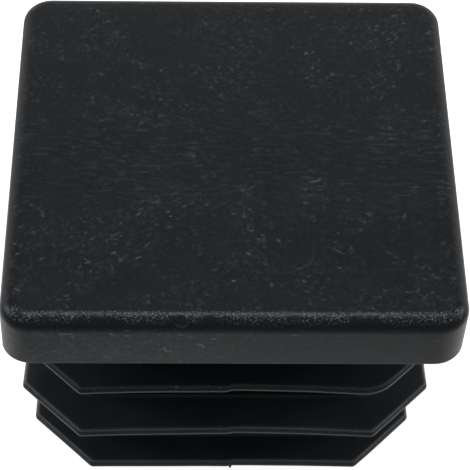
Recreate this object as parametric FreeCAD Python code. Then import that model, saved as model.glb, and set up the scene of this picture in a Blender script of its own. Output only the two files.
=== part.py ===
import FreeCAD, Part
import math
import os

# Ribbed end cap for a square tube, moulded in one piece.
# Millimetres. Z = 0 is the face that sits on the cut end of the tube, and +Z points out of the tube.

# The tube that the cap closes
TUBE_WIDTH = 40.0
TUBE_WALL = 2.0

# Head, the slab that stays outside the tube and is as wide as it
HEAD_THICKNESS = 5.7
HEAD_CORNER_RADIUS = 2.7
HEAD_TOP_ROUND = 1.35
HEAD_FOOT_ROUND = 0.15
ROOF_THICKNESS = 2.5

# Stem, the hollow square neck inside the tube
STEM_CLEARANCE = 3.0
STEM_WALL = 2.0
STEM_CORNER_RADIUS = 3.0
STEM_BELOW_FINS = 1.0
STEM_LEAD_IN = 0.5
HOLLOW_CEILING_ROUND = 1.0
CEILING_ROUND_STEPS = 3
DRAFT_DEGREES = 0.8

# Fins, the thin plates that grip the inside of the tube
FIN_COUNT = 3
FIRST_FIN_DEPTH = 5.45
FIN_PITCH = 6.65
FIN_SQUEEZE = 0.85
LAST_FIN_EASE = 1.0
FIN_CHAMFER = 5.5
FIN_EDGE_BOW = 0.3
FIN_TIP_ROUND = 0.6
FIN_RIM_THICKNESS = 0.65
FIN_TOP_RISE = 0.15
FIN_UNDER_DROP = 0.6
FIN_RIM_BREAK = 0.15
FIN_ROOT_BURY = 0.6

# Sizes that follow from the ones above
TUBE_INSIDE = TUBE_WIDTH - 2 * TUBE_WALL
STEM_WIDTH = TUBE_INSIDE - 2 * STEM_CLEARANCE
FIN_WIDTH = TUBE_INSIDE + 2 * FIN_SQUEEZE
LAST_FIN_WIDTH = FIN_WIDTH - 2 * LAST_FIN_EASE
LAST_FIN_UNDERSIDE = FIRST_FIN_DEPTH + (FIN_COUNT - 1) * FIN_PITCH + FIN_RIM_THICKNESS
STEM_LENGTH = LAST_FIN_UNDERSIDE + FIN_UNDER_DROP + STEM_BELOW_FINS
DRAFT = math.tan(math.radians(DRAFT_DEGREES))
CORNER_SHARE = 2 - math.sqrt(2)
SAME = 1e-6


def at(x, y, z):
    """A point, in millimetres."""
    return FreeCAD.Vector(x, y, z)


def rounded_square(width, radius, z):
    """Closed outline of a square with rounded corners, level at height z."""
    half = width / 2
    flat = half - radius
    dent = radius / math.sqrt(2)
    edges = []
    for turn in range(4):
        side = Part.makeLine(at(-flat, -half, z), at(flat, -half, z))
        start = at(flat, -half, z)
        middle = at(flat + dent, -flat - dent, z)
        end = at(half, -flat, z)
        corner = Part.Arc(start, middle, end).toShape()
        for edge in (side, corner):
            edge.rotate(at(0, 0, 0), at(0, 0, 1), 90 * turn)
            edges.append(edge)
    return Part.Wire(edges)


def fin_outline(half, chamfer, z, inset=0.0):
    """Closed outline of a fin: cut corners with round tips, and long sides bowed slightly inwards."""
    inner = half - inset - FIN_TIP_ROUND
    cut = chamfer - CORNER_SHARE * (inset + FIN_TIP_ROUND)
    reach = inner - cut
    edges = []
    for turn in range(4):
        left = at(-reach, -inner, z)
        middle = at(0, -inner + FIN_EDGE_BOW, z)
        right = at(reach, -inner, z)
        long_side = Part.Arc(left, middle, right).toShape()
        cut_side = Part.makeLine(right, at(inner, -reach, z))
        for edge in (long_side, cut_side):
            edge.rotate(at(0, 0, 0), at(0, 0, 1), 90 * turn)
            edges.append(edge)
    return Part.Wire(edges).makeOffset2D(FIN_TIP_ROUND)


def level_edges(solid, z):
    """The edges of a solid that lie level at height z."""
    return [edge for edge in solid.Edges
            if abs(edge.BoundBox.ZMin - z) < SAME and abs(edge.BoundBox.ZMax - z) < SAME]


def head():
    """The slab, with round plan corners, a full round along the top and a small one at the foot."""
    outline = rounded_square(TUBE_WIDTH, HEAD_CORNER_RADIUS, 0)
    slab = Part.Face(outline).extrude(at(0, 0, HEAD_THICKNESS))
    slab = slab.makeFillet(HEAD_TOP_ROUND, level_edges(slab, HEAD_THICKNESS))
    return slab.makeFillet(HEAD_FOOT_ROUND, level_edges(slab, 0))


def stem():
    """The neck before it is cored, with draft and a lead-in at its end."""
    end_width = STEM_WIDTH - 2 * DRAFT * STEM_LENGTH
    top = rounded_square(STEM_WIDTH, STEM_CORNER_RADIUS, 0)
    end = rounded_square(end_width, STEM_CORNER_RADIUS, -STEM_LENGTH)
    neck = Part.makeLoft([top, end], True, True)
    return neck.makeChamfer(STEM_LEAD_IN, level_edges(neck, -STEM_LENGTH))


def hollow():
    """The core that the mould leaves empty, open at the end of the stem, with a round along its ceiling."""
    mouth_width = STEM_WIDTH - 2 * DRAFT * STEM_LENGTH - 2 * STEM_WALL
    ceiling = HEAD_THICKNESS - ROOF_THICKNESS
    ceiling_width = mouth_width - 2 * DRAFT * (STEM_LENGTH + ceiling)
    radius = STEM_CORNER_RADIUS - STEM_WALL / 2
    sections = [rounded_square(mouth_width, radius, -STEM_LENGTH)]
    for step in range(CEILING_ROUND_STEPS + 1):
        turn = math.pi / 2 * step / CEILING_ROUND_STEPS
        inset = HOLLOW_CEILING_ROUND * (1 - math.cos(turn))
        height = ceiling - HOLLOW_CEILING_ROUND * (1 - math.sin(turn))
        sections.append(rounded_square(ceiling_width - 2 * inset, radius, height))
    return Part.makeLoft(sections, True, True)


def fin(width, depth):
    """One fin: an even rim with broken edges, and faces that thicken towards the stem."""
    half = width / 2
    root_half = STEM_WIDTH / 2 - DRAFT * (depth + FIN_RIM_THICKNESS + FIN_UNDER_DROP) - FIN_ROOT_BURY
    root_chamfer = CORNER_SHARE * (STEM_CORNER_RADIUS - FIN_ROOT_BURY) + CORNER_SHARE * FIN_TIP_ROUND
    top = -depth
    under = top - FIN_RIM_THICKNESS
    sections = [
        fin_outline(root_half, root_chamfer, top + FIN_TOP_RISE),
        fin_outline(half, FIN_CHAMFER, top, FIN_RIM_BREAK),
        fin_outline(half, FIN_CHAMFER, top - FIN_RIM_BREAK),
        fin_outline(half, FIN_CHAMFER, under + FIN_RIM_BREAK),
        fin_outline(half, FIN_CHAMFER, under, FIN_RIM_BREAK),
        fin_outline(root_half, root_chamfer, under - FIN_UNDER_DROP),
    ]
    return Part.makeLoft(sections, True, True)


def fins():
    """All fins at their pitch, the last one narrower so that it leads into the tube."""
    plates = []
    for index in range(FIN_COUNT):
        last = index == FIN_COUNT - 1
        width = LAST_FIN_WIDTH if last else FIN_WIDTH
        plates.append(fin(width, FIRST_FIN_DEPTH + index * FIN_PITCH))
    return plates


def end_cap():
    """The whole cap as one solid."""
    body = head().fuse([stem()] + fins())
    return body.cut(hollow()).removeSplitter().Solids[0]


os.makedirs("parts", exist_ok=True)
cap = end_cap()
cap.exportStep("parts/end_cap.step")
print("end_cap", cap.ShapeType, len(cap.Solids), "solids", cap.isValid(), round(cap.Volume / 1000, 3), "cm3")
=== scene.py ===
"""Looks of a ribbed end cap for a square tube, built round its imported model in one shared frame.

Metres throughout. Z = 0 is the seat on the tube's cut end, and +Z points out of the tube.
"""

import sys

import logging
import math
from dataclasses import dataclass, field
from enum import Enum
from typing import Callable

import bmesh
import bpy
from mathutils import Matrix, Vector


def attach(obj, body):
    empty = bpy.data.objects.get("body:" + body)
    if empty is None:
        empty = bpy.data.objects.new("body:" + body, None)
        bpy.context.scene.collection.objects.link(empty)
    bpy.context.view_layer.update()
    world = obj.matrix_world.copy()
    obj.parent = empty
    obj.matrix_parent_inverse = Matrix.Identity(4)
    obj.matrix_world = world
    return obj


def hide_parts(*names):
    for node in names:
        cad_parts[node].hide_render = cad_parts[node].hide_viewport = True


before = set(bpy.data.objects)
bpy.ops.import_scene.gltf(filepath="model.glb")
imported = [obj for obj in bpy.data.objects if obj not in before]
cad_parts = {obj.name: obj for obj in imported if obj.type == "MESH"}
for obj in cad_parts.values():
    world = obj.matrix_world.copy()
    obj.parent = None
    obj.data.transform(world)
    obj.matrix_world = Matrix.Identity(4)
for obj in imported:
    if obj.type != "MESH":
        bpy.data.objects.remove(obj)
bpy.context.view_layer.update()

MM = 0.001
CAP_NODE = "end_cap"
CAP_BODY = "root"
# rim wear, together with a painted highlight along the rims' edges
WEAR_AND_HIGHLIGHT = "rim_wear_and_highlight"
RIM = "rim_skin"
WHITE = (1.0, 1.0, 1.0, 1.0)
# painted cool tint in the plastic's reflections, standing for a bluish room light
COOL_SHEEN = (0.90, 0.95, 1.0, 1.0)
PLASTIC_IOR = 1.51

Point = tuple[float, float, float]
Outline = list[tuple[float, float]]
Ring = list[Point]
Colour = tuple[float, float, float, float]
Value = "Signal | bpy.types.NodeSocket | float | int | tuple"

CORNER_SHARE = 2 - math.sqrt(2)  # how much shorter a cut corner gets as its outline moves in by 1

# Scratches in millimetres: start, end, how pale, and width where it isn't the usual one
FACE_SCRATCHES = (
    ((-14.4, 13.1), (-12.1, 12.3), 0.12, 0.10),
    ((-10.4, 11.5), (-7.1, 10.2), 0.20, 0.09),
    ((-8.6, -3.1), (-7.6, -2.9), 0.18),
    ((-7.3, -6.6), (-6.7, -6.5), 0.30),
    ((-8.5, -7.5), (-7.9, -7.2), 0.30),
    ((-10.7, -10.6), (-9.9, -10.0), 0.35),
    ((-10.8, -10.7), (-10.0, -10.9), 0.25),
    ((-7.9, -11.8), (-7.2, -11.1), 0.35),
    ((-6.0, -9.6), (-5.3, -9.3), 0.25),
    ((-9.2, -14.0), (-7.9, -13.5), 0.14, 0.10),
    ((-0.3, -15.4), (0.1, -15.4), 0.80),
    ((6.7, -4.1), (7.7, -3.9), 0.60),
    ((9.5, -3.8), (10.5, -3.9), 0.14, 0.10),
    ((1.2, -9.0), (1.2, -9.8), 0.28, 0.12),
    ((8.4, -11.7), (9.5, -12.4), 0.28),
    ((8.8, -13.9), (9.2, -13.9), 0.50),
    ((14.4, -16.5), (15.2, -16.6), 0.30),
)
FRONT_SCRATCHES = (
    ((-14.8, 4.2), (-13.7, 4.2), 0.8),
    ((-10.7, 4.3), (-10.0, 3.9), 0.7),
    ((4.8, 4.2), (5.4, 4.05), 0.8),
)

log = logging.getLogger("end_cap")


class Slot(Enum):
    """The record's material slots."""

    BLACK_PLASTIC = "black_plastic"


class Lamp(Enum):
    """Where each studio lamp hangs: its middle in metres, its width and depth, and its power in watts."""

    OVERHEAD = ((0.0, 0.12, 0.61), (0.30, 0.19), 1.0)
    LEFT = ((-0.62, 0.10, 0.26), (0.30, 0.30), 0.9)
    RIGHT = ((0.62, 0.06, 0.26), (0.30, 0.30), 0.9)
    BACK = ((0.0, 0.58, 0.38), (1.30, 0.20), 0.46)


@dataclass(frozen=True)
class CapSizes:
    """The sizes that the head, stem and fins share.

    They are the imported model's, apart from fin_depth, fin_pitch and stem_lean, which follow the photo.
    """

    tube_width: float = 40.0 * MM
    head_thickness: float = 5.7 * MM
    head_corner: float = 2.7 * MM
    head_round: float = 1.35 * MM
    foot_round: float = 0.15 * MM
    roof: float = 2.5 * MM
    stem_width: float = 30.0 * MM
    stem_corner: float = 3.0 * MM
    stem_length: float = 21.0 * MM
    stem_wall: float = 2.0 * MM
    draft: float = math.tan(math.radians(0.8))
    fin_count: int = 3
    fin_depth: float = 5.48 * MM
    fin_pitch: float = 6.53 * MM
    fin_width: float = 37.7 * MM
    last_fin_ease: float = 1.0 * MM
    fin_chamfer: float = 5.5 * MM
    rim: float = 0.65 * MM
    stem_lean: float = 2.22

    def lean(self, mesh: bpy.types.Mesh) -> None:
        """Leans what is below the seat a little to the left, as in the photo."""
        slope = math.tan(math.radians(self.stem_lean))
        for vertex in mesh.vertices:
            vertex.co.x += slope * min(vertex.co.z, 0.0)

    def stem_half(self, depth: float) -> float:
        """Half the stem's width at a depth below the seat."""
        return self.stem_width / 2 - self.draft * depth


class Lofting:
    """Makes closed meshes from rings that all have the same number of points."""

    @staticmethod
    def mesh(name: str, rings: list[Ring], joined: bool = False) -> bpy.types.Mesh:
        """Skins a stack of rings.

        Args:
            name: The mesh's name.
            rings: Rings that run anticlockwise seen from above, in order along the skin.
            joined: Whether the last ring joins the first; otherwise both ends are closed with a flat face.

        Returns:
            The smooth-shaded mesh, its faces pointing outwards.
        """
        work = bmesh.new()
        rows = [[work.verts.new(point) for point in ring] for ring in rings]
        pairs = list(zip(rows, rows[1:] + rows[:1])) if joined else list(zip(rows, rows[1:]))
        for upper, lower in pairs:
            for here, there in zip(range(len(upper)), [*range(1, len(upper)), 0]):
                work.faces.new((upper[here], lower[here], lower[there], upper[there]))
        if not joined:
            work.faces.new(rows[0])
            work.faces.new(reversed(rows[-1]))
        for face in work.faces:
            face.smooth = True
        mesh = bpy.data.meshes.new(name)
        work.to_mesh(mesh)
        work.free()
        return mesh

    @staticmethod
    def level(outline: Outline, z: float) -> Ring:
        """Puts a plan outline at height z."""
        return [(x, y, z) for x, y in outline]

    @staticmethod
    def quarter(radius: float, steps: int) -> list[tuple[float, float]]:
        """Points of a quarter round, from its start along the first side to its end along the second.

        Args:
            radius: Radius of the round.
            steps: Number of chords.

        Returns:
            Pairs of how far the point has left the first side, and how far it still is from the second.
        """
        turns = [math.pi / 2 * step / steps for step in range(steps + 1)]
        return [(radius * (1 - math.cos(turn)), radius * (1 - math.sin(turn))) for turn in turns]


def piece(name: str, data: bpy.types.ID) -> bpy.types.Object:
    """Links a new object that shows a mesh, lamp or camera, at the origin."""
    made = bpy.data.objects.new(name, data)
    bpy.context.scene.collection.objects.link(made)
    return made


def seat(made: bpy.types.Object) -> None:
    """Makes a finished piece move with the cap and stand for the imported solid."""
    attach(made, CAP_BODY)
    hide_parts(CAP_NODE)
    log.info("%s: %d faces", made.name, len(made.data.polygons))


@dataclass
class Dent:
    """A small round dent that a knock left in the head's front edge."""

    centre: Point
    reach: float
    depth: float

    def press(self, point: Point) -> Point:
        """Moves a point of the skin in towards the head where the dent covers it."""
        offset = Vector(point) - Vector(self.centre)
        share = max(0.0, 1 - (offset.length / self.reach) ** 2)
        inward = Vector((0.0, 0.7, -0.7)) * self.depth * share**1.5
        return tuple(Vector(point) + inward)


@dataclass
class CapBody:
    """The head with its stem and hollow: one skin of rounded squares, from the outer face to the ceiling.

    Attributes:
        sizes: The cap's shared sizes.
        corner_steps: Chords in each plan corner.
        round_steps: Chords in the round along the outer face.
        small_steps: Chords in every smaller round.
        lead_in: Round at the stem's lower end, outside.
        mouth_round: Round at the stem's lower end, inside.
        root_round: Fillet between the head's underside and the stem.
        ceiling_round: Round along the hollow's ceiling.
        support: How far beside each round a ring keeps the flat next to it flat.
        face_insets: How far inside the outer face's edge its rings lie.
        seat_inset: How far inside the head's edge the ring on the seat lies.
        ceiling_inset: How far inside its edge the ring on the ceiling lies.
        least_corner: The smallest corner radius of the rings on the outer face.
        foot_aside: How far left the side wall lies at its foot, beside where it starts.
        side_columns: Columns on each half of a straight side.
        dent_count: How many columns half a side would have at the spacing near the dent.
        dent_columns: The first of those that is made, and the one after the last.
        end_column: Where the column beside a side's end stands.
        dents: Knocks in the outer round.
    """

    sizes: CapSizes
    corner_steps: int = 14
    round_steps: int = 14
    small_steps: int = 5
    lead_in: float = 0.5 * MM
    mouth_round: float = 0.25 * MM
    root_round: float = 0.3 * MM
    ceiling_round: float = 1.0 * MM
    support: float = 0.08 * MM
    face_insets: tuple[float, ...] = (6 * MM, 1.2 * MM, 0.35 * MM, 0.06 * MM)
    seat_inset: float = 0.25 * MM
    ceiling_inset: float = 0.3 * MM
    least_corner: float = 0.3 * MM
    foot_aside: float = 0.12 * MM
    side_columns: int = 20
    dent_count: int = 130
    dent_columns: tuple[int, int] = (-40, -27)
    end_column: float = 0.995
    dents: list[Dent] = field(default_factory=list)

    def columns(self) -> list[float]:
        """Where the columns of each straight side stand, from -1 to 1, close together where the dent is."""
        count, (first, last) = self.side_columns, self.dent_columns
        even = [step / count for step in range(1 - count, count)]
        close = [step / self.dent_count for step in range(first, last)]
        return sorted(set(even + close + [-1.0, -self.end_column, self.end_column, 1.0]))

    def outline(self, half: float, corner: float) -> Outline:
        """Plan outline of a square with rounded corners.

        Args:
            half: Half the square's width.
            corner: Radius of its corners.

        Returns:
            Points anticlockwise from the left end of the front side.
        """
        flat = half - corner
        side = [(flat * share, -half) for share in self.columns()]
        turns = [math.pi / 2 * step / self.corner_steps for step in range(1, self.corner_steps)]
        side += [(flat + corner * math.sin(turn), -flat - corner * math.cos(turn)) for turn in turns]
        points: Outline = []
        for _ in range(4):
            points += side
            side = [(-y, x) for x, y in side]
        return points

    def ring(self, half: float, corner: float, z: float) -> Ring:
        """A level ring of the skin."""
        return Lofting.level(self.outline(half, corner), z)

    def settle(self, ring: Ring) -> Ring:
        """Moves a ring of the side wall left, more so the lower it lies, but not past its own left side."""
        start = self.sizes.head_thickness - self.sizes.head_round
        left = min(x for x, _, _ in ring)
        return [(max(x - self.foot_aside * max(0.0, 1 - z / start), left), y, z) for x, y, z in ring]

    def head_rings(self) -> list[Ring]:
        """The outer face, its round, the side wall, the foot round and the underside."""
        size = self.sizes
        half, corner, top = size.tube_width / 2, size.head_corner, size.head_thickness
        rim_half, rim_corner = half - size.head_round, corner - size.head_round
        rings = [self.ring(rim_half - inset, max(rim_corner - inset, self.least_corner), top)
                 for inset in self.face_insets]
        for inward, down in reversed(Lofting.quarter(size.head_round, self.round_steps)):
            rings.append(self.ring(half - inward, corner - inward, top - down))
        rings.append(self.ring(half, corner, top - size.head_round - self.support))
        rings.append(self.ring(half, corner, size.foot_round + self.support))
        for inward, up in Lofting.quarter(size.foot_round, self.small_steps):
            rings.append(self.ring(half - inward, corner - inward, up))
        rings.append(self.ring(half - self.seat_inset, corner - self.seat_inset, 0.0))
        return [self.settle(ring) for ring in rings]

    def stem_rings(self) -> list[Ring]:
        """The fillet under the head, the stem's outside, and its lead-in."""
        size, corner = self.sizes, self.sizes.stem_corner
        root, lead, end = self.root_round, self.lead_in, size.stem_length
        wide = root + self.support
        rings = [self.ring(size.stem_half(0.0) + wide, corner + wide, 0.0)]
        for down, out in Lofting.quarter(root, self.small_steps):
            rings.append(self.ring(size.stem_half(down) + out, corner + out, -down))
        rings.append(self.ring(size.stem_half(root + self.support), corner, -root - self.support))
        rings.append(self.ring(size.stem_half(end - lead), corner, lead + self.support - end))
        for inward, left in Lofting.quarter(lead, self.small_steps):
            rings.append(self.ring(size.stem_half(end) - inward, corner - inward, left - end))
        return rings

    def hollow_rings(self) -> list[Ring]:
        """The stem's end face, the mouth's round, the hollow's walls and the round along its ceiling."""
        size, end = self.sizes, self.sizes.stem_length
        mouth = size.stem_half(end) - size.stem_wall
        ceiling = size.head_thickness - size.roof
        corner = size.stem_corner - size.stem_wall / 2
        tip, cove = self.mouth_round, self.ceiling_round
        rings = []
        for up, out in Lofting.quarter(tip, self.small_steps):
            rings.append(self.ring(mouth + out, corner + out, up - end))
        ceiling_half = mouth - size.draft * (end + ceiling)
        rings.append(self.ring(mouth, corner, tip + self.support - end))
        rings.append(self.ring(ceiling_half, corner, ceiling - cove - self.support))
        for inward, left in Lofting.quarter(cove, self.small_steps + 2):
            rings.append(self.ring(ceiling_half - inward, corner - inward, ceiling - left))
        rings.append(self.ring(ceiling_half - cove - self.ceiling_inset, corner - cove, ceiling))
        return rings

    def build(self) -> bpy.types.Object:
        """Skins the rings and presses the dents into them."""
        rings = self.head_rings() + self.stem_rings() + self.hollow_rings()
        for dent in self.dents:
            rings = [[dent.press(point) for point in ring] for ring in rings]
        mesh = Lofting.mesh("cap_body", rings)
        self.sizes.lean(mesh)
        return piece("cap_body", mesh)


class Signal:
    """A node's output to reckon with: each operator adds a Math node to its tree."""

    def __init__(self, tree: "Tree", socket: bpy.types.NodeSocket) -> None:
        """Keeps the output and the tree that it belongs to."""
        self.tree, self.socket = tree, socket

    def __add__(self, other: Value) -> "Signal":
        """The sum."""
        return self.tree.math("ADD", self, other)

    def __radd__(self, other: Value) -> "Signal":
        """The sum, the other value first."""
        return self.tree.math("ADD", other, self)

    def __sub__(self, other: Value) -> "Signal":
        """The difference."""
        return self.tree.math("SUBTRACT", self, other)

    def __rsub__(self, other: Value) -> "Signal":
        """The difference, the other value first."""
        return self.tree.math("SUBTRACT", other, self)

    def __mul__(self, other: Value) -> "Signal":
        """The product."""
        return self.tree.math("MULTIPLY", self, other)

    def __rmul__(self, other: Value) -> "Signal":
        """The product, the other value first."""
        return self.tree.math("MULTIPLY", other, self)

    def __truediv__(self, other: Value) -> "Signal":
        """The quotient."""
        return self.tree.math("DIVIDE", self, other)

    def __rtruediv__(self, other: Value) -> "Signal":
        """The quotient, the other value first."""
        return self.tree.math("DIVIDE", other, self)

    def __abs__(self) -> "Signal":
        """The value without its sign."""
        return self.tree.math("ABSOLUTE", self)


class Tree:
    """Adds nodes to one node tree and links them in short calls."""

    def __init__(self, tree: bpy.types.NodeTree) -> None:
        """Keeps the tree that the nodes go into."""
        self.tree = tree

    @classmethod
    def of(cls, owner: bpy.types.Material | bpy.types.World) -> "Tree":
        """Gives a new material or world an empty node tree to build in."""
        owner.use_nodes = True
        owner.node_tree.nodes.clear()
        return cls(owner.node_tree)

    def add(self, kind: str, **settings: object) -> bpy.types.Node:
        """Adds a node and sets its properties."""
        node = self.tree.nodes.new(kind)
        for name, value in settings.items():
            setattr(node, name, value)
        return node

    def feed(self, socket: bpy.types.NodeSocket, value: Value) -> None:
        """Links a socket to the value, or sets it where the value is a plain number or tuple."""
        value = value.socket if isinstance(value, Signal) else value
        if isinstance(value, bpy.types.NodeSocket):
            self.tree.links.new(value, socket)
        else:
            socket.default_value = value

    def wired(self, kind: str, inputs: dict[str | int, Value], **settings: object) -> bpy.types.Node:
        """Adds a node, sets its properties and then feeds its inputs, given by name or number."""
        node = self.add(kind, **settings)
        for label, value in inputs.items():
            self.feed(node.inputs[label], value)
        return node

    def read(self, kind: str, **settings: object) -> dict[str, Signal]:
        """Adds a node whose outputs all have different names, and returns them by name."""
        node = self.add(kind, **settings)
        return {socket.name: Signal(self, socket) for socket in node.outputs if socket.name}

    def math(self, operation: str, *values: Value, clamp: bool = False) -> Signal:
        """Adds a Math node and returns its value."""
        node = self.wired("ShaderNodeMath", dict(enumerate(values)), operation=operation, use_clamp=clamp)
        return Signal(self, node.outputs[0])

    def vector(self, operation: str, *values: Value) -> Signal:
        """Adds a Vector Math node and returns its vector, or its number where the operation gives one."""
        node = self.wired("ShaderNodeVectorMath", dict(enumerate(values)), operation=operation)
        number = operation in ("LENGTH", "DISTANCE", "DOT_PRODUCT")
        return Signal(self, node.outputs["Value" if number else "Vector"])

    def scaled(self, vector: Value, factor: Value) -> Signal:
        """Scales a vector by a number."""
        node = self.wired("ShaderNodeVectorMath", {"Vector": vector, "Scale": factor}, operation="SCALE")
        return Signal(self, node.outputs["Vector"])

    def split(self, vector: Value) -> list[Signal]:
        """Takes a vector apart into its x, y and z."""
        return [Signal(self, part) for part in self.wired("ShaderNodeSeparateXYZ", {0: vector}).outputs]

    def join(self, x: Value, y: Value, z: Value) -> Signal:
        """Puts a vector together from x, y and z."""
        return Signal(self, self.wired("ShaderNodeCombineXYZ", {0: x, 1: y, 2: z}).outputs[0])

    def ramp(self, value: Value, low: Value, high: Value, smooth: bool = True) -> Signal:
        """Maps a value from low..high to 0..1, and keeps it there.

        Args:
            value: What is mapped.
            low: Where the result is 0.
            high: Where the result is 1, above or below low.
            smooth: Whether the ends are eased.

        Returns:
            The mapped value.
        """
        kind = "SMOOTHSTEP" if smooth else "LINEAR"
        inputs = dict(enumerate((value, low, high, 0.0, 1.0)))
        return Signal(self, self.wired("ShaderNodeMapRange", inputs, interpolation_type=kind).outputs[0])

    def noise(self, vector: Value, scale: Value, detail: float = 2.0, rough: float = 0.5) -> Signal:
        """Adds a Noise Texture and returns its value."""
        inputs = {"Vector": vector, "Scale": scale, "Detail": detail, "Roughness": rough}
        return Signal(self, self.wired("ShaderNodeTexNoise", inputs).outputs[0])

    def cells(self, vector: Value, scale: Value) -> tuple[Signal, Signal]:
        """Adds a Voronoi Texture and returns the distance to each cell's middle and the cell's random value."""
        node = self.wired("ShaderNodeTexVoronoi", {"Vector": vector, "Scale": scale})
        return Signal(self, node.outputs["Distance"]), self.split(node.outputs["Color"])[0]

    def dots(self, random: Signal, share: Value, largest: Value) -> Signal:
        """The size of each cell's dot, where only a share of the cells has one."""
        return self.math("MULTIPLY", self.ramp(random, 1.0 - share, 1.0, False), largest)


@dataclass
class FinStack:
    """The fins: one fin is a plain mesh, and its repeats and small faults follow rules in a node tree.

    Attributes:
        sizes: The cap's shared sizes.
        tip: Round at each point of a fin's plan outline.
        bow: How far the fins' long sides bow inwards.
        straighter: By what share of that bow the last fin is straighter.
        rim_round: Round along the rim's upper edge.
        rim_lean: How far the rim's face leans back from upright, in degrees.
        lip: Height of the upright lip below that face.
        lip_break: Round along the rim's lower edge.
        lip_wear_and_highlight: How pale the lip is from wear and a painted highlight, where the rim's upper
            edge is 1.
        face_wear_and_highlight: How pale the leaning face is from wear and painted light.
        rise: How much higher the top face is at the stem than at the rim.
        drop: How much lower the underside is at the stem than at the rim.
        bury: How far the root reaches into the stem's wall.
        fillet: Fillet between a fin and the stem.
        parting: Where the mould's parting line crosses the first fin's front and back rims.
        parting_drift: How much further right it crosses each next fin, before the lean.
        parting_step: How far the mould's two halves are out of line there.
        parting_ease: By what share of that they are nearer in line at every fin after the first.
        parting_reach: Over what length that step fades out along the rim.
        flash: How far the flash stands out under the last fin's front rim.
        waver: How far the rims waver up and down.
        middle_drop: How much lower the fins between the first and the last lie than their even pitch.
        right_ease: How far the right side's front end lies inwards of where its bow would put it.
        soft_tip: Round at the one softer corner.
        tip_steps: Chords in each point of the outline.
        rim_steps: Chords in the rim's rounds.
        fillet_steps: Chords in the fillets.
        face_parts: Where on the leaning face its points lie, as shares of it from the top.
        web_parts: Where on a fin's faces its rings lie, as shares of the way from the fillet to the rim.
        side_columns: Columns on each half of a long side.
        near_spacing: How far apart columns stand near the parting line.
        near_columns: The first of those, counted from the middle, and the one after the last.
        near_gap: The least gap between them and the other columns.
        parting_blend: How far either side of the parting line the step there is rounded off.
        long_sides: How far from the middle plane the front and back rims begin, and are reached in full.
        flash_aside: How far right of the parting line the flash lies.
        flash_width: Half the flash's width at its foot and at its crest.
        waver_scale: How many waves of waver there are in a metre.
        right_end_y: Where along the right side its front end begins, is eased most, and stops.
        right_end_x: How far right the easing begins, and is reached in full.
        search_steps: Halvings in the search for where a fin leaves the stem.
    """

    sizes: CapSizes
    tip: float = 0.6 * MM
    bow: float = 0.34 * MM
    straighter: float = 0.65
    rim_round: float = 0.2 * MM
    rim_lean: float = 26.0
    lip: float = 0.19 * MM
    lip_break: float = 0.06 * MM
    lip_wear_and_highlight: float = 0.26
    face_wear_and_highlight: float = 0.12
    rise: float = 0.15 * MM
    drop: float = 0.6 * MM
    bury: float = 0.6 * MM
    fillet: float = 0.35 * MM
    parting: float = -0.06 * MM
    parting_drift: float = 0.375 * MM
    parting_step: float = 0.19 * MM
    parting_ease: float = 0.4
    parting_reach: float = 18.0 * MM
    flash: float = 0.16 * MM
    waver: float = 0.05 * MM
    middle_drop: float = 0.09 * MM
    right_ease: float = 0.14 * MM
    soft_tip: float = 3.6 * MM
    tip_steps: int = 6
    rim_steps: int = 4
    fillet_steps: int = 4
    face_parts: tuple[float, ...] = (0.2, 0.8, 1.0)
    web_parts: tuple[float, ...] = (0.3, 0.65, 0.93)
    side_columns: int = 16
    near_spacing: float = 0.07 * MM
    near_columns: tuple[int, int] = (-8, 19)
    near_gap: float = 0.1 * MM
    parting_blend: float = 0.45 * MM
    long_sides: tuple[float, float] = (12 * MM, 15 * MM)
    flash_aside: float = 0.08 * MM
    flash_width: tuple[float, float] = (0.16 * MM, 0.04 * MM)
    waver_scale: float = 130.0
    right_end_y: tuple[float, float, float] = (-6 * MM, -12.5 * MM, -18 * MM)
    right_end_x: tuple[float, float] = (12 * MM, 17 * MM)
    search_steps: int = 20

    def columns(self, reach: float) -> list[float]:
        """Where a long side's columns stand, from -reach to reach, close together at the parting line."""
        count, (first, last), gap = self.side_columns, self.near_columns, self.near_gap
        even = [reach * step / count for step in range(-count, count + 1)]
        near = [step * self.near_spacing for step in range(first, last)]
        far = [x for x in even if not near[0] - gap < x < near[-1] + gap]
        return sorted(far + near)

    def rim_section(self) -> list[Point]:
        """The rim's section: the round along its upper edge, the leaning face, and the upright lip.

        Returns:
            Points from the top face to the underside: how far each lies inside the fin's outline, how far above
            the underside, and how much wear and painted highlight it carries.
        """
        back, high = math.radians(self.rim_lean), self.lip_break + self.lip
        face = self.sizes.rim - high - self.rim_round * (1 - math.sin(back))
        inward = face * math.tan(back) + self.rim_round * math.cos(back)
        middle = high + face - self.rim_round * math.sin(back)
        section = []
        for step in range(self.rim_steps + 1):
            turn = (math.pi / 2 - back) * step / self.rim_steps
            # wear and painted highlight, strongest mid-round where the rim's light line lies
            wear_and_highlight = math.sin(math.pi * (step + 0.5) / (self.rim_steps + 1))
            inset = inward - self.rim_round * math.sin(turn)
            section.append((inset, middle + self.rim_round * math.cos(turn), wear_and_highlight))
        for share in self.face_parts:
            left = face * (1 - share)
            section.append((left * math.tan(back), high + left, self.face_wear_and_highlight))
        section.append((0.0, high - 0.03 * MM, self.lip_wear_and_highlight))
        for inset, above in Lofting.quarter(self.lip_break, self.rim_steps):
            section.append((inset, above, self.lip_wear_and_highlight))
        return section

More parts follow.
